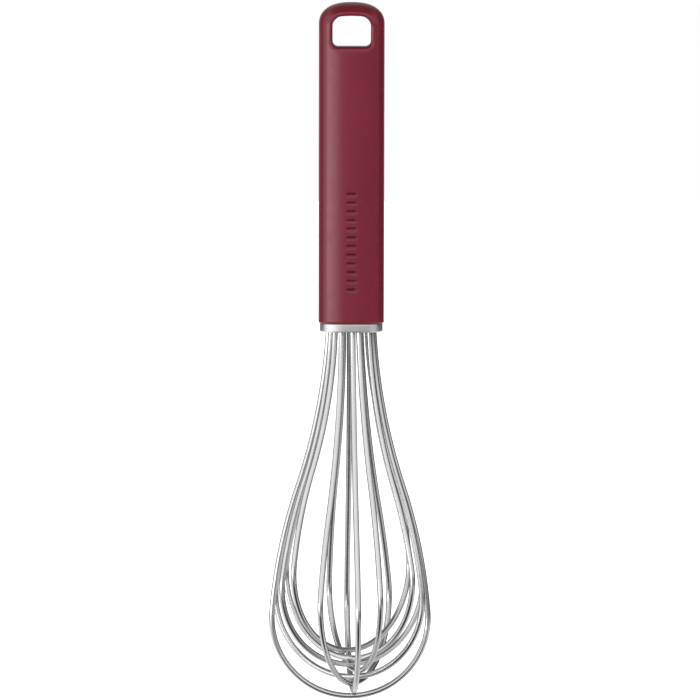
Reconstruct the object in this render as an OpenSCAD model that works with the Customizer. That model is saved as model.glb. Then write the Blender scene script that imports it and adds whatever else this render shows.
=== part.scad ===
// Balloon whisk: eight nested wire loops in a soft-square handle with a hanging hole.
// The origin is the top of the hanging hole, where a hook bears. +Z runs up the handle, -Y is the front.

/* [Overall] */
// Lowest wire to top of handle
overall_length = 266.7; // [262:0.1:272]
// Wire diameter
wire_d = 2.2; // [1.8:0.05:2.25]

/* [Handle] */
// Handle length
handle_length = 122.1; // [118:0.1:127]
// Handle width
handle_width = 25; // [24:0.1:28]
// Handle depth, front to back
handle_depth = 23; // [23:0.1:26]
// Radius of the long edges and of the top
handle_round = 8.6; // [7:0.1:9.5]
// Radius of the edge at the mouth
mouth_round = 0.5; // [0.4:0.1:1.2]

/* [Hanging hole] */
// Hole width
hole_width = 14.6; // [13:0.1:15.5]
// Hole height
hole_height = 11.6; // [11:0.1:14]
// Wall between the hole and the top
hole_wall = 5.2; // [4.5:0.1:7]
// Radius of the upper corners of the hole
hole_top_corner = 3.4; // [3:0.1:5.5]
// Radius of the lower corners of the hole
hole_low_corner = 2.1; // [1:0.1:3]
// Radius rounding the hole into the front and back
hole_round = 1.7; // [1:0.1:2]

/* [Front marks] */
// Number of short recessed bars down the front
mark_count = 12; // [6:1:14]
// Length of a bar across the handle
mark_length = 3.6; // [2:0.1:4]
// Height of a bar
mark_height = 0.9; // [0.5:0.05:1.2]
// Distance from bar to bar
mark_pitch = 3.3; // [2:0.1:3.5]
// Depth of a bar
mark_depth = 0.25; // [0.15:0.05:0.4]
// Height of the lowest bar over the handle mouth
mark_rise = 13; // [8:0.5:20]

/* [Ferrule] */
// Height of the steel band below the handle
ferrule_height = 3.2; // [2.5:0.1:4]
// How far the band is set in from the handle's sides
ferrule_inset = 0.5; // [0.3:0.05:0.7]
// Radius of the band's lower edge
ferrule_round = 0.4; // [0.3:0.05:0.8]
// Length of the spigot inside the handle
spigot_length = 3; // [2:0.1:4]

/* [Wire holder] */
// Radius of the ring of wire legs
leg_ring = 8.6; // [8.55:0.05:8.65]
// Diameter of the holder
holder_d = 20.2; // [20:0.05:20.4]
// How deep the holder's face sits inside the band
holder_recess = 1; // [1:0.05:1.4]
// Length of the holder
holder_length = 15; // [12:0.1:18]
// Length of the sealing compound behind it
seal_length = 7; // [6:0.1:8]
// Length of wire leg inside the compound
leg_grip = 4; // [3:0.1:5]

/* [Wire loops] */
// Angle at which a wire leaves the band
exit_angle = 3.2; // [3:0.1:3.5]
// Shoulder radius over neck radius
shoulder_ratio = 0.9; // [0.85:0.05:1]

/* [Loop 1, the outermost] */
// Turn about the axis
turn_1 = -1; // [-1.5:0.5:-0.5]
// Lean to the side
lean_1 = -0.15; // [-0.2:0.05:-0.1]
// Radius of the round lower half
belly_1 = 29.9; // [29.8:0.1:30]
// Angle where the round half meets the shoulder
shoulder_1 = 4.5; // [4:0.5:5]

/* [Loop 2] */
// Turn about the axis
turn_2 = -86; // [-86.5:0.5:-85.5]
// Lean to the side
lean_2 = 0.4; // [0.35:0.05:0.45]
// Radius of the round lower half
belly_2 = 31.3; // [31.2:0.1:31.4]
// Height of its bottom over loop 1
rise_2 = 2.35; // [2.3:0.05:2.4]
// Angle where the round half meets the shoulder
shoulder_2 = 14.5; // [14:0.5:15]

/* [Loop 3] */
// Turn about the axis
turn_3 = 65; // [64.5:0.5:65.5]
// Lean to the side
lean_3 = 0.95; // [0.9:0.05:1]
// Radius of the round lower half
belly_3 = 31.2; // [31.1:0.1:31.3]
// Height of its bottom over loop 1
rise_3 = 5; // [4.95:0.05:5.05]
// Angle where the round half meets the shoulder
shoulder_3 = 12; // [11.5:0.5:12.5]

/* [Loop 4] */
// Turn about the axis
turn_4 = -22.5; // [-23:0.5:-22]
// Lean to the side
lean_4 = -0.45; // [-0.5:0.05:-0.4]
// Radius of the round lower half
belly_4 = 30.4; // [30.3:0.1:30.5]
// Height of its bottom over loop 1
rise_4 = 7.4; // [7.35:0.05:7.45]
// Angle where the round half meets the shoulder
shoulder_4 = 7; // [6.5:0.5:7.5]

/* [Loop 5] */
// Turn about the axis
turn_5 = -70; // [-70.5:0.5:-69.5]
// Lean to the side
lean_5 = 0.85; // [0.8:0.05:0.9]
// Radius of the round lower half
belly_5 = 28.7; // [28.6:0.1:28.8]
// Height of its bottom over loop 1
rise_5 = 9.9; // [9.85:0.05:9.95]
// Angle where the round half meets the shoulder
shoulder_5 = 6.5; // [6:0.5:7]

/* [Loop 6] */
// Turn about the axis
turn_6 = 27; // [26.5:0.5:27.5]
// Lean to the side
lean_6 = 0.45; // [0.4:0.05:0.5]
// Radius of the round lower half
belly_6 = 30.2; // [30.1:0.1:30.3]
// Height of its bottom over loop 1
rise_6 = 12.25; // [12.2:0.05:12.3]
// Angle where the round half meets the shoulder
shoulder_6 = 8.5; // [8:0.5:9]

/* [Loop 7] */
// Turn about the axis
turn_7 = -38.5; // [-39:0.5:-38]
// Lean to the side
lean_7 = -0.45; // [-0.5:0.05:-0.4]
// Radius of the round lower half
belly_7 = 30.9; // [30.8:0.1:31]
// Height of its bottom over loop 1
rise_7 = 14.6; // [14.55:0.05:14.65]
// Angle where the round half meets the shoulder
shoulder_7 = 11.5; // [11:0.5:12]

/* [Loop 8, the innermost] */
// Turn about the axis
turn_8 = 44.5; // [44:0.5:45]
// Lean to the side
lean_8 = 0.3; // [0.25:0.05:0.35]
// Radius of the round lower half
belly_8 = 31; // [30.9:0.1:31.1]
// Height of its bottom over loop 1
rise_8 = 17.7; // [17.65:0.05:17.75]
// Angle where the round half meets the shoulder
shoulder_8 = 8; // [7.5:0.5:8.5]

/* [Hidden] */
$fn = 48;
wire_fn = 32;
turns = [turn_1, turn_2, turn_3, turn_4, turn_5, turn_6, turn_7, turn_8];
leans = [lean_1, lean_2, lean_3, lean_4, lean_5, lean_6, lean_7, lean_8];
bellies = [belly_1, belly_2, belly_3, belly_4, belly_5, belly_6, belly_7, belly_8];
rises = [0, rise_2, rise_3, rise_4, rise_5, rise_6, rise_7, rise_8];
shoulders = [shoulder_1, shoulder_2, shoulder_3, shoulder_4, shoulder_5, shoulder_6, shoulder_7, shoulder_8];
loop_count = len(turns);
fit_gap = 0.02;
// wire lengths stop this far short of the ball that joins them
bend_gap = 0.12;
bend_ball_d = wire_d + 0.06;
through = 1;

// heights over the lowest wire
mouth_z = overall_length - handle_length;
band_z = mouth_z - ferrule_height;
hang_z = overall_length - hole_wall;
hole_low_z = hang_z - hole_height;
holder_z = band_z + holder_recess;
seal_z = holder_z + holder_length;
core_top_z = seal_z + seal_length;
leg_top_z = seal_z + leg_grip;
spigot_d = holder_d + 0.8;

// a wire's bends: the neck opens out to flare(i), the shoulder closes in again to the belly
function belly_z(i) = wire_d / 2 + rises[i] + bellies[i];
function rise_r(i) = bellies[i] * cos(shoulders[i]) - leg_ring;
function rise_z(i) = band_z - belly_z(i) - bellies[i] * sin(shoulders[i]);
function cos_sum(i) = cos(exit_angle) + shoulder_ratio * cos(shoulders[i]);
function sin_sum(i) = sin(exit_angle) + shoulder_ratio * sin(shoulders[i]);
function flare(i) = atan2(rise_r(i), rise_z(i)) + acos((rise_z(i) * cos_sum(i) + rise_r(i) * sin_sum(i))
    / ((1 + shoulder_ratio) * norm([rise_r(i), rise_z(i)])));
function neck_round(i) = rise_r(i) / (cos_sum(i) - (1 + shoulder_ratio) * cos(flare(i)));
function shoulder_round(i) = shoulder_ratio * neck_round(i);

// ---- shared shapes ----

// half outline of a post with a rounded foot and a rounded top
module post_outline(half, height, foot, top) {
    translate([0, foot]) square([half, height - foot - top]);
    square([half - foot, height - top]);
    translate([half - foot, foot]) intersection() {
        circle(foot);
        translate([0, -foot]) square(foot);
    }
    if (top > 0) {
        if (half > top) square([half - top, height]);
        translate([half - top, height - top]) intersection() {
            circle(top);
            square(top);
        }
    }
}

module full_outline(half, height, foot, top) {
    post_outline(half, height, foot, top);
    mirror([1, 0]) post_outline(half, height, foot, top);
}

// soft-square block standing on z = 0
module soft_block(width, depth, height, round_r, foot, top) {
    for (sx = [-1, 1], sy = [-1, 1])
        translate([sx * (width / 2 - round_r), sy * (depth / 2 - round_r), 0])
            rotate_extrude() post_outline(round_r, height, foot, top);
    translate([round_r - width / 2, 0, 0]) rotate([90, 0, 90])
        linear_extrude(width - 2 * round_r) full_outline(depth / 2, height, foot, top);
    translate([0, depth / 2 - round_r, 0]) rotate([90, 0, 0])
        linear_extrude(depth - 2 * round_r) full_outline(width / 2, height, foot, top);
}

// ---- handle ----

hole_half = hole_width / 2;
top_corner_z = hang_z - hole_top_corner;
low_corner_z = hole_low_z + hole_low_corner;

// face of the hole in x and z
module hole_outline() {
    translate([-hole_half, low_corner_z]) square([hole_width, top_corner_z - low_corner_z]);
    translate([hole_low_corner - hole_half, hole_low_z])
        square([hole_width - 2 * hole_low_corner, hole_height / 2]);
    translate([hole_top_corner - hole_half, hang_z - hole_height / 2])
        square([hole_width - 2 * hole_top_corner, hole_height / 2]);
    for (s = [-1, 1]) {
        translate([s * (hole_half - hole_low_corner), low_corner_z]) circle(hole_low_corner);
        translate([s * (hole_half - hole_top_corner), top_corner_z]) circle(hole_top_corner);
    }
}

// what the rounded rim takes away outside a wall at r, with the front face at y = 0
module rim_cut(r) {
    difference() {
        translate([r, -through]) square([hole_round, hole_round + through]);
        translate([r + hole_round, hole_round]) circle(hole_round);
    }
}

module rim_corner(x, z, r, from) {
    translate([x, 0, z]) rotate([-90, 0, 0]) rotate([0, 0, from])
        rotate_extrude(angle = 90) rim_cut(r);
}

module rim_side(x, z, turn, length) {
    translate([x, 0, z]) rotate([0, turn, 0]) linear_extrude(length) rim_cut(0);
}

// rounds the hole into the front face
module rim_round() {
    translate([0, -handle_depth / 2, 0]) {
        for (s = [0, 1]) mirror([s, 0, 0]) {
            rim_corner(hole_half - hole_top_corner, top_corner_z, hole_top_corner, -90);
            rim_corner(hole_half - hole_low_corner, low_corner_z, hole_low_corner, 0);
            rim_side(hole_half, low_corner_z, 0, top_corner_z - low_corner_z);
        }
        rim_side(hole_low_corner - hole_half, hole_low_z, 90, hole_width - 2 * hole_low_corner);
        rim_side(hole_half - hole_top_corner, hang_z, -90, hole_width - 2 * hole_top_corner);
    }
}

module mark_bars() {
    for (i = [0 : mark_count - 1])
        translate([0, mark_depth - handle_depth / 2, mouth_z + mark_rise + i * mark_pitch])
            rotate([90, 0, 0]) linear_extrude(through) {
                square([mark_length - mark_height, mark_height], center = true);
                for (s = [-1, 1]) translate([s * (mark_length - mark_height) / 2, 0]) circle(mark_height / 2);
            }
}

module handle() {
    color([0.47, 0.16, 0.20])
    translate([0, 0, -hang_z])
    difference() {
        translate([0, 0, mouth_z])
            soft_block(handle_width, handle_depth, handle_length, handle_round, mouth_round, handle_round);
        translate([0, 0, mouth_z - through]) cylinder(h = core_top_z - mouth_z + through, d = holder_d + 2 * fit_gap);
        translate([0, 0, mouth_z - through]) cylinder(h = spigot_length + through, d = spigot_d + 2 * fit_gap);
        translate([0, handle_depth / 2 + through, 0]) rotate([90, 0, 0])
            linear_extrude(handle_depth + 2 * through) hole_outline();
        rim_round();
        mirror([0, 1, 0]) rim_round();
        mark_bars();
    }
}

// ---- ferrule ----

module ferrule() {
    color([0.75, 0.76, 0.77])
    translate([0, 0, -hang_z])
    difference() {
        union() {
            translate([0, 0, band_z])
                soft_block(handle_width - 2 * ferrule_inset, handle_depth - 2 * ferrule_inset,
                    ferrule_height, handle_round - ferrule_inset, ferrule_round, 0);
            translate([0, 0, mouth_z]) cylinder(h = spigot_length, d = spigot_d);
        }
        translate([0, 0, band_z - through])
            cylinder(h = ferrule_height + spigot_length + 2 * through, d = holder_d + 2 * fit_gap);
    }
}

// ---- wire holder and sealing compound ----

module all_legs(d, top_z) {
    for (i = [0 : loop_count - 1]) at_loop(i)
        for (s = [-1, 1]) translate([s * leg_ring, 0, bend_gap])
            cylinder(h = top_z - band_z - bend_gap, d = d, $fn = wire_fn);
}

module wire_holder() {
    color([0.30, 0.30, 0.31])
    translate([0, 0, -hang_z])
    difference() {
        translate([0, 0, holder_z]) cylinder(h = holder_length, d = holder_d);
        all_legs(wire_d + 2 * fit_gap, seal_z + through);
    }
}

module sealing_compound() {
    color([0.85, 0.83, 0.76])
    translate([0, 0, -hang_z])
    difference() {
        translate([0, 0, seal_z]) cylinder(h = seal_length, d = holder_d);
        all_legs(wire_d + 2 * fit_gap, leg_top_z);
    }
}

// ---- wire loops ----

// stands a loop at the band, turned about the axis and leaning a little to the side
module at_loop(i) {
    translate([0, 0, band_z]) rotate([0, -leans[i], 0]) rotate([0, 0, turns[i]]) children();
}

// arc of wire in x and z about a centre, angles counted from +X towards +Z
module wire_arc(x, z, r, from, sweep) {
    trim = bend_gap / r * 180 / PI;
    translate([x, 0, z]) rotate([90, 0, 0]) rotate([0, 0, from + trim])
        rotate_extrude(angle = sweep - 2 * trim, $fn = ceil(r * 1.6 + 60))
            translate([r, 0]) circle(d = wire_d, $fn = wire_fn);
}

module bend_ball(x, z) {
    translate([x, 0, z]) sphere(d = bend_ball_d, $fn = wire_fn);
}

module wire_loop(i) {
    f = flare(i);
    neck = neck_round(i);
    shoulder = shoulder_round(i);
    belly = bellies[i];
    belly_mid = belly_z(i) - band_z;
    angle = shoulders[i];
    shoulder_x = (belly - shoulder) * cos(angle);
    shoulder_z = belly_mid + (belly - shoulder) * sin(angle);
    neck_x = leg_ring + neck * cos(exit_angle);
    neck_z = neck * sin(exit_angle);
    at_loop(i) {
        wire_arc(0, belly_mid, belly, 180 - angle, 180 + 2 * angle);
        for (s = [0, 1]) mirror([s, 0, 0]) {
            wire_arc(shoulder_x, shoulder_z, shoulder, angle, f - angle);
            wire_arc(neck_x, neck_z, neck, 180 + exit_angle, f - exit_angle);
            translate([leg_ring, 0, bend_gap])
                cylinder(h = leg_top_z - band_z - bend_gap, d = wire_d, $fn = wire_fn);
            bend_ball(belly * cos(angle), belly_mid + belly * sin(angle));
            bend_ball(neck_x - neck * cos(f), neck_z - neck * sin(f));
            bend_ball(leg_ring, 0);
        }
    }
}

module steel_loop(i) {
    color([0.80, 0.81, 0.82]) translate([0, 0, -hang_z]) wire_loop(i);
}

module wire_loop_1() { steel_loop(0); }
module wire_loop_2() { steel_loop(1); }
module wire_loop_3() { steel_loop(2); }
module wire_loop_4() { steel_loop(3); }
module wire_loop_5() { steel_loop(4); }
module wire_loop_6() { steel_loop(5); }
module wire_loop_7() { steel_loop(6); }
module wire_loop_8() { steel_loop(7); }

handle();
ferrule();
wire_holder();
sealing_compound();
wire_loop_1();
wire_loop_2();
wire_loop_3();
wire_loop_4();
wire_loop_5();
wire_loop_6();
wire_loop_7();
wire_loop_8();
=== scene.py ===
import math

import bpy
import numpy as np
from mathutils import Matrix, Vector


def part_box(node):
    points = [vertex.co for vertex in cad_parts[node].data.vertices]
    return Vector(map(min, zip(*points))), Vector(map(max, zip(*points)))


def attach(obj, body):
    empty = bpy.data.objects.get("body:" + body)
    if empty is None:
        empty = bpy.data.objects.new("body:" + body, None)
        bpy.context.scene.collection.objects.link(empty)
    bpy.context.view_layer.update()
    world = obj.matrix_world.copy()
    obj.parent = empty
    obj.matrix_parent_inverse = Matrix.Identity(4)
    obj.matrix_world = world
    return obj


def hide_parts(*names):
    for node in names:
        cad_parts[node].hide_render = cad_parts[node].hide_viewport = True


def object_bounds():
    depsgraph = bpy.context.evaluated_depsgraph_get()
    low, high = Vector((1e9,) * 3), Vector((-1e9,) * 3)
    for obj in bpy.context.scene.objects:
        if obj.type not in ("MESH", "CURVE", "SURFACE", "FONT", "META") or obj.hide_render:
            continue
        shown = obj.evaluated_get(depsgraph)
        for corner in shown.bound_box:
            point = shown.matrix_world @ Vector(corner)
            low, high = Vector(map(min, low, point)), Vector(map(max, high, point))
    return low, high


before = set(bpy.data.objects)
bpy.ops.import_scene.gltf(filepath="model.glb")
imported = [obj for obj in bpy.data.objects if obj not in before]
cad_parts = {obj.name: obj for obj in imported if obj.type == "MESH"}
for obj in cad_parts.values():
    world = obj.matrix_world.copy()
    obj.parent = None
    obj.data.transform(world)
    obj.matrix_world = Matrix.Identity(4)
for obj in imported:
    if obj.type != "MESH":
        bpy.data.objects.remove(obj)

cad_lo, cad_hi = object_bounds()
MM = 0.001

# -------------------- sizes, in millimetres from the hanging point

handle_lo, handle_hi = (np.array(c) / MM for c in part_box("handle"))
band_lo, band_hi = (np.array(c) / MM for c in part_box("ferrule"))
seal_lo, seal_hi = (np.array(c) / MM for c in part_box("sealing_compound"))

TOP_Z, MOUTH_Z = handle_hi[2], handle_lo[2]
HALF_W, HALF_D = handle_hi[0], handle_hi[1]
BAND_Z = band_lo[2]
HOLDER_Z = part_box("wire_holder")[0][2] / MM
FOOT_Z = cad_lo.z / MM

# the handle: section and dome as powers of a superellipse, then its edges, hole, core and recessed bars
SECTION_POWER = 2.95
DOME_H, DOME_POWER = 8.5, 2.35
MOUTH_R = 0.5
HOLE_W, HOLE_H = 14.6, 11.6
HOLE_TOP_R, HOLE_LOW_R, HOLE_RIM = 3.4, 2.1, 1.7
HOLE_CROWN_R = 40.0
CORE_R = 10.12
MARKS, MARK_W, MARK_H, MARK_PITCH, MARK_DEPTH, MARK_RISE = 12, 3.6, 0.9, 3.3, 0.25, 13.0
MARK_EDGE_R = 0.12
FIRST_MARK_Z = MOUTH_Z + MARK_RISE
GRID, QUICK_GRID = 0.39, 0.7

# the band: lower edge, upper edge, edge of the bore, spigot, clearances to the handle, and points in a ring
BAND_EDGE_R, BAND_TOP_R, BORE_EDGE_R = 0.4, 0.24, 0.3
SPIGOT_R = 10.52
BAND_GAP, FIT_GAP = 0.25, 0.02
BAND_SIDES = 132

# the wires: their radius, the ring that their legs stand on and how far they ease out of it inside the band,
# their angle at the band, the shoulder arc's radius as a share of the neck arc's, how far the ends reach into
# the compound, and the steps of each stretch
WIRE_R = 1.1
LEG_RING, LEG_EASE = 8.6, 0.002
EXIT_A = math.radians(3.2)
SHOULDER_RATIO = 0.9
LEG_END = 4.0
LEG_STEPS, NECK_STEPS, SHOULDER_STEPS, BELLY_STEPS = 8, 40, 34, 72
# for each: turn about the axis, lean to the side, radius of the round lower half, rise of its bottom over the
# lowest loop's, shoulder angle; in degrees and millimetres
LOOPS = [
    (-1, -0.15, 29.9, 0, 4.5),
    (-86, 0.4, 31.3, 2.35, 14.5),
    (65, 0.95, 31.2, 5, 12),
    (-22.5, -0.45, 30.4, 7.4, 7),
    (-70, 0.85, 28.7, 9.9, 6.5),
    (27, 0.45, 30.2, 12.25, 8.5),
    (-38.5, -0.45, 30.9, 14.6, 11.5),
    (44.5, 0.3, 31, 17.7, 8),
]

# the skirts of sealant: how far they spread, hang down and run into the wire, and how uneven they are
SKIRT_SPREAD, SKIRT_DEPTH, SKIRT_OVERLAP, SKIRT_WAVE = 0.55, 0.5, 0.03, 0.12
SKIRT_SIDES, SKIRT_ROWS = 24, 6

# the floor: how far it lies under the foot; then, in metres, its radius and where its glow starts to rise and
# is full; and the glow near the object
FLOOR_DROP = 240.0
FLOOR_R, FLOOR_GLOW_FROM, FLOOR_GLOW_TO = 9.0, 0.35, 1.35
FLOOR_GLOW = 0.35

# the camera: distance, height over the foot, where it looks beside and above the middle, roll in degrees
CAMERA_AWAY, CAMERA_OVER_FOOT = 2150.0, 294.0
AIM_SIDE, AIM_RAISE = -0.44, 0.69
CAMERA_ROLL = 0.11
LENS, SENSOR = 290.4, 36.0

STUDIO_LEVEL = 1.1

scene = bpy.context.scene


def quarter(steps, first=0):
    """Sine and cosine of the angles from 0 to 90 degrees in equal steps, from step number first on."""
    angles = [math.pi / 2 * k / steps for k in range(first, steps + 1)]
    return [(math.sin(a), math.cos(a)) for a in angles]


# -------------------- mesh helpers

def new_piece(name, verts_mm, faces, uvs=None):
    """A smooth mesh object; uvs is one (u, v) per face corner, in order."""
    mesh = bpy.data.meshes.new(name)
    mesh.from_pydata((np.asarray(verts_mm) * MM).tolist(), [], faces)
    if uvs is not None:
        layer = mesh.uv_layers.new(name="surface")
        layer.data.foreach_set("uv", np.asarray(uvs, np.float32).ravel())
    mesh.polygons.foreach_set("use_smooth", [True] * len(mesh.polygons))
    mesh.update()
    obj = bpy.data.objects.new(name, mesh)
    scene.collection.objects.link(obj)
    return obj


def loft(name, rings, closed_rows=False, cap_ends=False):
    """Quads between rings of equal length; u runs around a ring and v from ring to ring, in millimetres."""
    rings = np.asarray(rings, float)
    rows, n = rings.shape[:2]
    verts = rings.reshape(-1, 3)
    around = np.linalg.norm(np.roll(rings, -1, axis=1) - rings, axis=2).mean(0)
    u = np.concatenate([[0.0], np.cumsum(around)])
    along = np.linalg.norm(np.roll(rings, -1, axis=0) - rings, axis=2).mean(1)
    v = np.concatenate([[0.0], np.cumsum(along)])
    faces, uvs = [], []
    for r in range(rows if closed_rows else rows - 1):
        s = (r + 1) % rows
        for k in range(n):
            m = (k + 1) % n
            faces.append((r * n + k, r * n + m, s * n + m, s * n + k))
            uvs += [(u[k], v[r]), (u[k + 1], v[r]), (u[k + 1], v[r + 1]), (u[k], v[r + 1])]
    if cap_ends:
        for r, order in ((0, range(n - 1, -1, -1)), (rows - 1, range(n))):
            faces.append(tuple(r * n + k for k in order))
            uvs += [(u[k], v[r]) for k in order]
    return new_piece(name, verts, faces, uvs)


def surface_net(name, field, lo, hi, step):
    """Quad mesh of the surface field = 0, relaxed and drawn back onto it.

    Each grid edge that the surface crosses gives one quad between the four cells around it, and each cell's
    vertex is the mean of its crossings.
    """
    axes = [np.arange(lo[a], hi[a] + step, step) for a in range(3)]
    grid = np.stack(np.meshgrid(*axes, indexing="ij"), -1)
    f = field(grid.reshape(-1, 3)).reshape(grid.shape[:3])
    inside = f < 0
    cells = tuple(s - 1 for s in f.shape)
    total, count = np.zeros(cells + (3,)), np.zeros(cells)
    quads = []
    for axis in range(3):
        here = [slice(None)] * 3
        there = [slice(None)] * 3
        here[axis], there[axis] = slice(None, -1), slice(1, None)
        here, there = tuple(here), tuple(there)
        cross = inside[here] != inside[there]
        i, j, k = np.nonzero(cross)
        at = [i, j, k]
        fa, fb = f[here][i, j, k], f[there][i, j, k]
        point = grid[i, j, k].copy()
        point[:, axis] += step * fa / (fa - fb)
        b, c = (axis + 1) % 3, (axis + 2) % 3
        corners = []
        for db, dc in ((-1, -1), (0, -1), (0, 0), (-1, 0)):
            cell = list(at)
            cell[b], cell[c] = at[b] + db, at[c] + dc
            np.add.at(total, tuple(cell), point)
            np.add.at(count, tuple(cell), 1)
            corners.append(np.ravel_multi_index(tuple(cell), cells))
        quad = np.stack(corners, 1)
        flip = ~inside[here][i, j, k]
        quad[flip] = quad[flip][:, ::-1]
        quads.append(quad)
    quads = np.concatenate(quads)
    used, index = np.unique(quads, return_inverse=True)
    quads = index.reshape(quads.shape)
    verts = (total / np.maximum(count, 1)[..., None]).reshape(-1, 3)[used]

    def drawn_back(p, passes):
        """Newton steps onto the surface, kept short where the field is nearly level."""
        e = 0.02
        for _ in range(passes):
            grad = np.stack([(field(p + d) - field(p - d)) / (2 * e) for d in np.eye(3) * e], 1)
            size = np.maximum((grad ** 2).sum(1), 0.2)
            p = p - grad * (field(p) / size)[:, None]
        return p

    for _ in range(2):
        near, degree = np.zeros_like(verts), np.zeros(len(verts))
        for a, b in ((0, 1), (1, 2), (2, 3), (3, 0)):
            np.add.at(near, quads[:, a], verts[quads[:, b]])
            np.add.at(near, quads[:, b], verts[quads[:, a]])
            np.add.at(degree, quads[:, a], 1)
            np.add.at(degree, quads[:, b], 1)
        verts = drawn_back(0.5 * verts + 0.5 * near / degree[:, None], 2)
    return new_piece(name, drawn_back(verts, 3), quads.tolist())


# -------------------- solid shapes as distance fields, negative inside

def handle_body(p):
    """Soft-square post that runs up into a low dome; close to a distance near its surface."""
    n, m = SECTION_POWER, DOME_POWER
    u, v = np.abs(p[:, 0]) / HALF_W, np.abs(p[:, 1]) / HALF_D
    h = np.maximum(p[:, 2] - TOP_Z + DOME_H, 0) / DOME_H
    g = np.maximum(u ** n + v ** n, 1e-6) ** (1 / n)
    whole = (g ** m + h ** m) ** (1 / m)
    across = g ** (2 * m - 2 * n) * ((u ** (n - 1) / HALF_W) ** 2 + (v ** (n - 1) / HALF_D) ** 2)
    slope = whole ** (1 - m) * np.sqrt(across + (h ** (m - 1) / DOME_H) ** 2)
    return (whole - 1) / np.maximum(slope, 0.03)


def round_cut(a, b, r):
    """a without b, with the edge between them rounded to radius r."""
    b = -b
    u = np.maximum(np.stack([a + r, b + r], 1), 0)
    return np.minimum(np.maximum(a, b), -r) + np.linalg.norm(u, axis=1)


def hanging_hole(x, z):
    """Rounded rectangle with larger upper corners and a faintly crowned top."""
    upper = z > -HOLE_H / 2
    crown = np.where(upper, np.minimum(x ** 2, (HOLE_W / 2) ** 2) / (2 * HOLE_CROWN_R), 0)
    r = np.where(upper, HOLE_TOP_R, HOLE_LOW_R)
    u = np.abs(x) - HOLE_W / 2 + r
    v = np.abs(z + HOLE_H / 2) + crown - HOLE_H / 2 + r
    return np.hypot(np.maximum(u, 0), np.maximum(v, 0)) + np.minimum(np.maximum(u, v), 0) - r


def recessed_bars(x, y, z):
    """The column of shallow bars with round ends, each cut to its depth in the front."""
    row = np.clip(np.round((z - FIRST_MARK_Z) / MARK_PITCH), 0, MARKS - 1)
    past_end = np.maximum(np.abs(x) - (MARK_W - MARK_H) / 2, 0)
    outline = np.hypot(past_end, z - FIRST_MARK_Z - row * MARK_PITCH) - MARK_H / 2
    return np.maximum(outline, y + HALF_D - MARK_DEPTH)


def handle_field(p):
    """The handle with its mouth, core, seat for the band's spigot, hanging hole and bars."""
    x, y, z = p.T
    body = round_cut(handle_body(p), z - MOUTH_Z, MOUTH_R)
    body = np.maximum(body, -np.maximum(np.hypot(x, y) - CORE_R, z - seal_hi[2]))
    body = np.maximum(body, -np.maximum(np.hypot(x, y) - SPIGOT_R, z - band_hi[2] - FIT_GAP))
    body = round_cut(body, hanging_hole(x, z), HOLE_RIM)
    return round_cut(body, recessed_bars(x, y, z), MARK_EDGE_R)


# -------------------- pieces

def build_handle():
    pad = 0.8
    lo = [-HALF_W - pad, -HALF_D - pad, MOUTH_Z - pad]
    hi = [HALF_W + pad, HALF_D + pad, TOP_Z + pad]
    piece = surface_net("handle_grip", handle_field, lo, hi, GRID)
    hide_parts("handle")
    return piece


def soft_square(half_w, half_d, z):
    """Ring with the handle's section, anticlockwise from above."""
    a = 2 * math.pi * np.arange(BAND_SIDES) / BAND_SIDES
    u, v = np.abs(np.cos(a)) / half_w, np.abs(np.sin(a)) / half_d
    reach = (u ** SECTION_POWER + v ** SECTION_POWER) ** (-1 / SECTION_POWER)
    return np.stack([reach * np.cos(a), reach * np.sin(a), np.full(BAND_SIDES, z)], 1)


def build_band():
    """Pressed steel band: rounded lower edge, flat underside running in to the round bore, spigot above."""
    w, d = band_hi[0], band_hi[1]
    outer = []
    for sine, cosine in quarter(8):
        inset = BAND_EDGE_R * (1 - sine)
        outer.append(soft_square(w - inset, d - inset, BAND_Z + BAND_EDGE_R * (1 - cosine)))
    top = MOUTH_Z - BAND_GAP
    for t in (0.25, 0.5, 0.75, 1.0):
        outer.append(soft_square(w, d, BAND_Z + BAND_EDGE_R + (top - BAND_Z - BAND_EDGE_R) * t))
    for sine, cosine in quarter(4, 1):
        inset = BAND_TOP_R * (1 - cosine)
        outer.append(soft_square(w - inset, d - inset, top + BAND_TOP_R * sine))
    base = outer[0]
    angle = np.arctan2(base[:, 1], base[:, 0])

    def circle(radius, z):
        return np.stack([radius * np.cos(angle), radius * np.sin(angle), np.full(BAND_SIDES, z)], 1)

    under = [circle(CORE_R, MOUTH_Z), circle(CORE_R, BAND_Z + BORE_EDGE_R)]
    for sine, cosine in quarter(4, 1):
        under.append(circle(CORE_R + BORE_EDGE_R * (1 - cosine), BAND_Z + BORE_EDGE_R * (1 - sine)))
    bore_edge = under[-1]
    for t in (0.34, 0.67):
        under.append(bore_edge * (1 - t) + base * t)
    spigot = SPIGOT_R - FIT_GAP
    upper = [circle(spigot, MOUTH_Z), circle(spigot, band_hi[2]), circle(CORE_R, band_hi[2])]
    piece = loft("steel_band", np.array(under + outer + upper), closed_rows=True)
    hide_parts("ferrule")
    return piece


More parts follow.
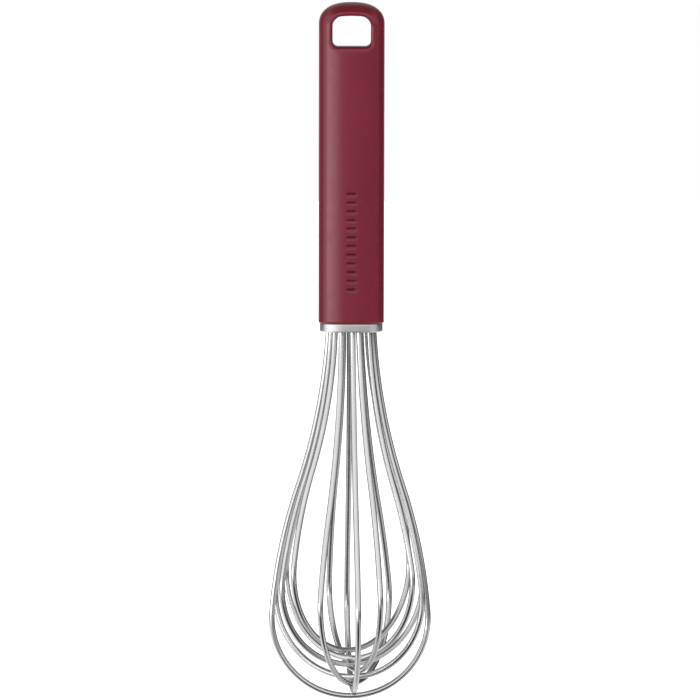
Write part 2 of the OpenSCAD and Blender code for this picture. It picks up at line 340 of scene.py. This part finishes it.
def loop_outline(belly_r, rise, shoulder_a):
    """Half of a loop in its plane, as distance from the axis and height over the foot.

    It runs from the leg's end down the leg, the neck arc, the shoulder arc and the round lower half.
    """
    belly = WIRE_R + rise + belly_r
    band = BAND_Z - FOOT_Z
    # the neck arc bends out to the flare angle and the shoulder arc back again, over rise_r and rise_z in all
    rise_r = belly_r * math.cos(shoulder_a) - LEG_RING
    rise_z = band - belly - belly_r * math.sin(shoulder_a)
    cos_sum = math.cos(EXIT_A) + SHOULDER_RATIO * math.cos(shoulder_a)
    sin_sum = math.sin(EXIT_A) + SHOULDER_RATIO * math.sin(shoulder_a)
    reach = (1 + SHOULDER_RATIO) * math.hypot(rise_r, rise_z)
    flare = math.atan2(rise_r, rise_z) + math.acos((rise_z * cos_sum + rise_r * sin_sum) / reach)
    neck = rise_r / (cos_sum - (1 + SHOULDER_RATIO) * math.cos(flare))
    shoulder = SHOULDER_RATIO * neck
    leg_top = seal_lo[2] + LEG_END - FOOT_Z
    out = [(LEG_RING, leg_top + (band + 1 - leg_top) * t) for t in np.linspace(0, 1, LEG_STEPS)]
    out.append((LEG_RING + LEG_EASE, band + 0.5))
    for a in np.linspace(EXIT_A, flare, NECK_STEPS):
        out.append((LEG_RING + neck * (math.cos(EXIT_A) - math.cos(a)),
                    band - neck * (math.sin(a) - math.sin(EXIT_A))))
    r1, z1 = out[-1]
    for a in np.linspace(flare, shoulder_a, SHOULDER_STEPS)[1:]:
        out.append((r1 + shoulder * (math.cos(a) - math.cos(flare)),
                    z1 - shoulder * (math.sin(flare) - math.sin(a))))
    for a in np.linspace(shoulder_a, -math.pi / 2, BELLY_STEPS)[1:]:
        out.append((belly_r * math.cos(a), belly + belly_r * math.sin(a)))
    return np.array(out)


def build_loop(i):
    """One wire: its outline on both sides of the axis, swept round, leant and turned."""
    turn_deg, lean_deg, belly_r, rise, shoulder_deg = LOOPS[i]
    half = loop_outline(belly_r, rise, math.radians(shoulder_deg))
    path = np.vstack([half, (half * [-1, 1])[-2::-1]])
    band = BAND_Z - FOOT_Z
    flat = np.stack([path[:, 0], np.zeros(len(path)), path[:, 1] - band], 1)
    tangent = np.gradient(flat, axis=0)
    tangent /= np.linalg.norm(tangent, axis=1)[:, None]
    side = np.array([0.0, 1.0, 0.0])
    normal = np.cross(tangent, side)
    n = 28
    a = (2 * math.pi * np.arange(n) / n)[None, :, None]
    rings = flat[:, None] + WIRE_R * (np.cos(a) * normal[:, None] - np.sin(a) * side)
    t, lean = math.radians(turn_deg), math.radians(lean_deg)
    turn = np.array([[math.cos(t), -math.sin(t), 0], [math.sin(t), math.cos(t), 0], [0, 0, 1]])
    tip = np.array([[math.cos(lean), 0, -math.sin(lean)], [0, 1, 0], [math.sin(lean), 0, math.cos(lean)]])
    rings = rings @ (tip @ turn).T + [0, 0, BAND_Z]
    piece = loft("wire_%d" % (i + 1), rings, cap_ends=True)
    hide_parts("wire_loop_%d" % (i + 1))
    return piece


def build_wire_seals():
    """The little skirt of sealant where each wire enters the holder."""
    verts, faces = [], []
    n, rows = SKIRT_SIDES, SKIRT_ROWS
    for i, (turn_deg, lean_deg, *_) in enumerate(LOOPS):
        t, lean = math.radians(turn_deg), math.radians(lean_deg)
        for s in (-1, 1):
            cx = s * LEG_RING * math.cos(t) - (HOLDER_Z - BAND_Z) * math.tan(lean)
            cy = s * LEG_RING * math.sin(t)
            start = len(verts)
            for sine, cosine in quarter(rows):
                z = HOLDER_Z - SKIRT_DEPTH * (1 - cosine)
                for c in 2 * math.pi * np.arange(n) / n:
                    wave = 1 + SKIRT_WAVE * math.sin(3 * c + i * 1.7 + s)
                    r = WIRE_R - SKIRT_OVERLAP + SKIRT_SPREAD * (1 - sine) * wave
                    verts.append((cx + r * math.cos(c), cy + r * math.sin(c), z))
            for k in range(rows):
                here, below = start + k * n, start + (k + 1) * n
                for m in range(n):
                    q = (m + 1) % n
                    faces.append((here + m, below + m, below + q, here + q))
            faces.append(tuple(start + m for m in range(n)))
            faces.append(tuple(start + rows * n + m for m in range(n - 1, -1, -1)))
    piece = new_piece("wire_seals", verts, faces)
    return piece


# -------------------- materials

def add_node(tree, kind, **values):
    """A new node, with each value set on the node itself or else on its input of that name."""
    n = tree.nodes.new(kind)
    for key, value in values.items():
        if hasattr(n, key):
            setattr(n, key, value)
        else:
            n.inputs[key.replace("_", " ")].default_value = value
    return n


class Shader:
    """Short way to build a node material around one Principled shader."""

    def __init__(self, name):
        self.material = bpy.data.materials.new(name)
        self.material.use_nodes = True
        self.tree = self.material.node_tree
        self.bsdf = next(n for n in self.tree.nodes if n.type == "BSDF_PRINCIPLED")

    def node(self, kind, **values):
        return add_node(self.tree, kind, **values)

    def link(self, a, b):
        self.tree.links.new(a, b)

    def set(self, **values):
        for key, value in values.items():
            self.bsdf.inputs[key.replace("_", " ")].default_value = value

    def coords(self, source="Object", scale=(1, 1, 1)):
        place = self.node("ShaderNodeMapping", Scale=scale)
        self.link(self.node("ShaderNodeTexCoord").outputs[source], place.inputs["Vector"])
        return place.outputs["Vector"]

    def noise(self, vector, scale, detail=3.0, roughness=0.5):
        n = self.node("ShaderNodeTexNoise", Scale=scale, Detail=detail, Roughness=roughness)
        self.link(vector, n.inputs["Vector"])
        return n.outputs["Fac"]

    def spread(self, value, low, high, from_low=0.25, from_high=0.75):
        m = self.node("ShaderNodeMapRange", From_Min=from_low, From_Max=from_high, To_Min=low, To_Max=high)
        self.link(value, m.inputs["Value"])
        return m.outputs["Result"]

    def shade(self, value, dark, light):
        ramp = self.node("ShaderNodeValToRGB")
        ramp.color_ramp.elements[0].position, ramp.color_ramp.elements[1].position = 0.3, 0.7
        ramp.color_ramp.elements[0].color = (*dark, 1)
        ramp.color_ramp.elements[1].color = (*light, 1)
        self.link(value, ramp.inputs["Fac"])
        self.link(ramp.outputs["Color"], self.bsdf.inputs["Base Color"])

    def between(self, value, low, high):
        """1 where the value, in metres, lies between low and high, in millimetres, else 0."""
        n = self.node("ShaderNodeMath", operation="COMPARE")
        self.link(value, n.inputs[0])
        n.inputs[1].default_value = (low + high) / 2 * MM
        n.inputs[2].default_value = (high - low) / 2 * MM
        return n.outputs["Value"]

    def times(self, a, b):
        n = self.node("ShaderNodeMath", operation="MULTIPLY")
        self.link(a, n.inputs[0])
        self.link(b, n.inputs[1])
        return n.outputs["Value"]

    def instead(self, name, where, value):
        """Give a linked socket of the shader another value where the mask is 1."""
        socket = self.bsdf.inputs[name]
        mix = self.node("ShaderNodeMixRGB", Color2=value)
        self.link(where, mix.inputs["Fac"])
        self.link(socket.links[0].from_socket, mix.inputs["Color1"])
        self.link(mix.outputs["Color"], socket)

    def bump(self, height, strength, distance, before=None):
        b = self.node("ShaderNodeBump", Strength=strength, Distance=distance)
        self.link(height, b.inputs["Height"])
        if before is not None:
            self.link(before, b.inputs["Normal"])
        self.link(b.outputs["Normal"], self.bsdf.inputs["Normal"])
        return b.outputs["Normal"]


def handle_plastic():
    s = Shader("burgundy_plastic")
    place = s.coords()
    s.shade(s.noise(place, 55.0, 2.0), (0.176, 0.0078, 0.0235), (0.188, 0.0092, 0.0260))
    s.link(s.spread(s.noise(place, 260.0, 4.0), 0.18, 0.24), s.bsdf.inputs["Roughness"])
    s.set(IOR=1.5)
    s.instead("Base Color", bar_floors(s, place), (0.100, 0.0010, 0.0100, 1))
    uneven = s.bump(s.noise(place, 160.0, 2.0), 0.08, 0.0005)
    s.bump(s.noise(place, 2600.0, 3.0, 0.6), 0.10, 0.00005, uneven)
    return s.material


def bar_floors(s, place):
    """Mask of the recessed bars' floors: a thin box around their column, just behind the handle's face."""
    split = s.node("ShaderNodeSeparateXYZ")
    s.link(place, split.inputs["Vector"])
    half_w = MARK_W / 2 + 0.3
    last = FIRST_MARK_Z + (MARKS - 1) * MARK_PITCH
    across = s.between(split.outputs["X"], -half_w, half_w)
    along = s.between(split.outputs["Z"], FIRST_MARK_Z - MARK_H, last + MARK_H)
    behind = s.between(split.outputs["Y"], MARK_DEPTH - 0.2 - HALF_D, MARK_DEPTH + 0.1 - HALF_D)
    return s.times(s.times(along, across), behind)


def polished_wire():
    s = Shader("polished_wire")
    along = s.coords("UV", (1.0, 0.03, 1.0))
    drawn = s.noise(along, 9.0, 4.0, 0.6)
    s.shade(s.noise(s.coords("Object"), 90.0, 2.0), (0.61, 0.61, 0.61), (0.65, 0.65, 0.65))
    s.link(s.spread(drawn, 0.15, 0.21), s.bsdf.inputs["Roughness"])
    s.set(Metallic=1.0)
    s.bump(drawn, 0.03, 0.00001)
    return s.material


def brushed_band():
    s = Shader("brushed_band")
    lines = s.coords("Object", (1.0, 1.0, 26.0))
    fine = s.noise(lines, 420.0, 5.0, 0.7)
    s.shade(s.noise(lines, 130.0, 3.0), (0.69, 0.69, 0.69), (0.77, 0.77, 0.76))
    s.link(s.spread(fine, 0.26, 0.34), s.bsdf.inputs["Roughness"])
    s.set(Metallic=1.0, Anisotropic=0.8, Anisotropic_Rotation=0.25)
    around = s.node("ShaderNodeTangent", direction_type="RADIAL", axis="Z")
    s.link(around.outputs["Tangent"], s.bsdf.inputs["Tangent"])
    s.bump(fine, 0.12, 0.00002)
    return s.material


def holder_plastic():
    s = Shader("holder_plastic")
    place = s.coords()
    s.shade(s.noise(place, 300.0, 3.0), (0.030, 0.030, 0.032), (0.045, 0.045, 0.047))
    s.link(s.spread(s.noise(place, 900.0, 3.0), 0.5, 0.65), s.bsdf.inputs["Roughness"])
    s.bump(s.noise(place, 1800.0, 4.0), 0.2, 0.00008)
    return s.material


def seal_resin():
    s = Shader("seal_resin")
    place = s.coords()
    s.shade(s.noise(place, 200.0, 3.0), (0.50, 0.46, 0.36), (0.60, 0.56, 0.45))
    s.link(s.spread(s.noise(place, 500.0, 2.0), 0.22, 0.34), s.bsdf.inputs["Roughness"])
    s.bump(s.noise(place, 700.0, 3.0), 0.15, 0.0001)
    return s.material


def floor_material():
    """Pale near the object and white further out by painted light: it glows faintly near the object and fully
    further out, so that no edge shows; clear from below.
    """
    s = Shader("pale_floor")
    s.shade(s.noise(s.coords(), 6.0, 2.0), (0.78, 0.78, 0.78), (0.80, 0.80, 0.80))
    s.set(Roughness=0.9, Specular_IOR_Level=0.0)
    far = s.node("ShaderNodeVectorMath", operation="LENGTH")
    s.link(s.coords(), far.inputs[0])
    # painted light: the floor's own glow, faint near the object and full further out
    glow = s.spread(far.outputs["Value"], FLOOR_GLOW, 1.0, FLOOR_GLOW_FROM, FLOOR_GLOW_TO)
    s.link(glow, s.bsdf.inputs["Emission Strength"])
    s.set(Emission_Color=(1, 1, 1, 1))
    clear = s.node("ShaderNodeBsdfTransparent")
    pick = s.node("ShaderNodeMixShader")
    s.link(s.node("ShaderNodeNewGeometry").outputs["Backfacing"], pick.inputs["Fac"])
    s.link(s.bsdf.outputs["BSDF"], pick.inputs[1])
    s.link(clear.outputs["BSDF"], pick.inputs[2])
    output = next(n for n in s.tree.nodes if n.type == "OUTPUT_MATERIAL")
    s.link(pick.outputs["Shader"], output.inputs["Surface"])
    return s.material


def dress(obj, material):
    obj.data.materials.clear()
    obj.data.materials.append(material)


def dress_node(name, material):
    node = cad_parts[name]
    for place in node.material_slots:
        place.material = material


# -------------------- build

wire_material = polished_wire()
seal_material = seal_resin()
made = [
    (build_handle(), handle_plastic()),
    (build_band(), brushed_band()),
    (build_wire_seals(), seal_material),
    *((build_loop(i), wire_material) for i in range(len(LOOPS))),
]
for piece, material in made:
    dress(piece, material)
    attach(piece, "root")
dress_node("wire_holder", holder_plastic())
dress_node("sealing_compound", seal_material)

# -------------------- floor, camera, light

bpy.ops.mesh.primitive_circle_add(
    vertices=96, radius=FLOOR_R, fill_type="NGON", location=(0, 0, (FOOT_Z - FLOOR_DROP) * MM))
floor = bpy.context.object
floor.name = "floor"
dress(floor, floor_material())
floor.visible_glossy = False

middle = Vector((AIM_SIDE, 0, (TOP_Z + FOOT_Z) / 2 + AIM_RAISE)) * MM
camera = bpy.data.objects.new("camera", bpy.data.cameras.new("camera"))
scene.collection.objects.link(camera)
camera.location = (middle.x, -CAMERA_AWAY * MM, (FOOT_Z + CAMERA_OVER_FOOT) * MM)
camera.rotation_euler = (middle - camera.location).to_track_quat("-Z", "Y").to_euler()
camera.rotation_euler.rotate_axis("Z", math.radians(CAMERA_ROLL))
camera.data.lens = LENS
camera.data.sensor_width = SENSOR
camera.data.clip_start, camera.data.clip_end = 0.05, 60
scene.camera = camera

world = bpy.data.worlds.new("studio")
scene.world = world
world.use_nodes = True
tree = world.node_tree
tree.nodes.clear()


def world_ramp(value, stops):
    ramp = add_node(tree, "ShaderNodeValToRGB")
    elements = ramp.color_ramp.elements
    while len(elements) < len(stops):
        elements.new(0.5)
    while len(elements) > len(stops):
        elements.remove(elements[-1])
    for element, (at, level) in zip(elements, stops):
        element.position = at
        element.color = (level, level, level, 1)
    tree.links.new(value, ramp.inputs["Fac"])
    return ramp.outputs["Color"]


def world_math(operation, a, b=None):
    n = add_node(tree, "ShaderNodeMath", operation=operation)
    for socket, value in ((n.inputs[0], a), (n.inputs[1], b)):
        if isinstance(value, (int, float)):
            socket.default_value = value
        elif value is not None:
            tree.links.new(value, socket)
    return n.outputs["Value"]


def sum_up(values):
    total = values[0]
    for value in values[1:]:
        total = world_math("ADD", total, value)
    return total


# the direction looked in, with its azimuth and elevation each brought to 0 to 1
direction = add_node(tree, "ShaderNodeSeparateXYZ")
tree.links.new(add_node(tree, "ShaderNodeTexCoord").outputs["Generated"], direction.inputs["Vector"])
turned = world_math("ARCTAN2", direction.outputs["X"], world_math("MULTIPLY", direction.outputs["Y"], -1.0))
azimuth = world_math("ADD", world_math("MULTIPLY", turned, 0.5 / math.pi), 0.5)
lifted = world_math("ARCSINE", direction.outputs["Z"])
raised = world_math("ADD", world_math("MULTIPLY", lifted, 1 / math.pi), 0.5)


def ring(stops, between):
    """One belt of the studio: light by azimuth times weight by elevation, both in degrees.

    Azimuth is 0 in front of the object and 90 to its right.
    """
    by_azimuth = world_ramp(azimuth, [((a + 180) / 360, v) for a, v in stops])
    weight = world_ramp(raised, [((e + 90) / 180, v) for e, v in between])
    return world_math("MULTIPLY", by_azimuth, weight)


# overhead, the broad belt from eye height up, the belt below it, and straight down
sky = sum_up([
    ring([(0, 0.12)], [(42, 0), (60, 1)]),
    ring([(-180, 0.35), (-160, 0.35), (-135, 0.6), (-110, 0.75), (-80, 1.05), (-40, 1.1), (-10, 1.1),
          (30, 1.0), (60, 0.75), (80, 0.55), (120, 0.45), (150, 0.3), (180, 0.35)],
         [(-13, 0), (-8, 1), (42, 1), (60, 0)]),
    ring([(-180, 0.8), (-75, 1.0), (-56, 0.8), (-36, 0.15), (-24, 0.05),
          (22, 0.04), (36, 0.15), (58, 0.8), (75, 0.9), (100, 0.7), (180, 0.8)],
         [(-68, 0), (-50, 1), (-13, 1), (-8, 0)]),
    ring([(0, 0.5)], [(-68, 1), (-50, 0)]),
])
# black flags: one on each side behind the object, and a thin one from the front round to the right
flags = [
    ring([(-168, 0), (-150, 0.65), (-134, 0.85), (-114, 0.9), (-98, 0),
          (86, 0), (100, 0.95), (150, 0.9), (168, 0)],
         [(-12, 0), (-7, 1), (34, 0.8), (50, 0)]),
    ring([(-26, 0), (-8, 0.7), (7, 0.9), (30, 0.9), (66, 0.75), (86, 0.6), (96, 0)],
         [(-10, 0), (-6, 1), (0.5, 1), (2.5, 0)]),
]
for flag in flags:
    sky = world_math("MULTIPLY", sky, world_math("SUBTRACT", 1.0, flag))
# the key light: a long thin strip just under eye height, from the left round to the front
key = ring([(-90, 0), (-80, 0.5), (-66, 3.9), (-46, 3.5), (-30, 2.1), (-10, 0.4), (2, 0)],
           [(-5.2, 0), (-4.0, 1), (-0.5, 1), (0.8, 0)])
studio = world_math("MULTIPLY", world_math("ADD", sky, key), STUDIO_LEVEL)
# the camera sees plain white behind the object, and everything else the studio
lit = add_node(tree, "ShaderNodeBackground")
seen = add_node(tree, "ShaderNodeBackground")
mix = add_node(tree, "ShaderNodeMixShader")
out = add_node(tree, "ShaderNodeOutputWorld")
tree.links.new(studio, lit.inputs["Color"])
seen.inputs["Color"].default_value = (1, 1, 1, 1)
tree.links.new(add_node(tree, "ShaderNodeLightPath").outputs["Is Camera Ray"], mix.inputs["Fac"])
tree.links.new(lit.outputs["Background"], mix.inputs[1])
tree.links.new(seen.outputs["Background"], mix.inputs[2])
tree.links.new(mix.outputs["Shader"], out.inputs["Surface"])
scene.view_settings.view_transform = "Standard"
